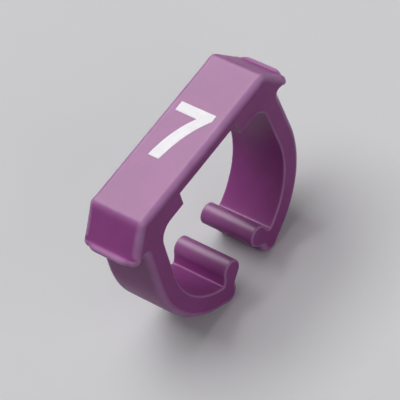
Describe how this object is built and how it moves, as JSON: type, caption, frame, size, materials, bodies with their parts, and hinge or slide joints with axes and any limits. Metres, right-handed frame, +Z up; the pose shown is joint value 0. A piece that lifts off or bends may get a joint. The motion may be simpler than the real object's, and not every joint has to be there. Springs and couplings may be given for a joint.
{
  "type": "cable marker",
  "caption": "Clip-on cable marker: a flat label plate with sloped ends on a C-shaped spring clip that snaps onto a round cable and shows a printed numeral.",
  "frame": {"origin": "centre of the clip's round arms, midway along the cable", "axes": "+X across the cable along the label, +Y along the cable towards the tongue side, +Z up through the label face"},
  "size_m": [0.0116, 0.0034, 0.0094],
  "materials": {
    "violet_plastic": "satin, moulded, coloured through",
    "white_ink": "thin printed ink"
  },
  "bodies": {
    "root": {"marker_clip": "violet_plastic"}
  },
  "joints": []
}
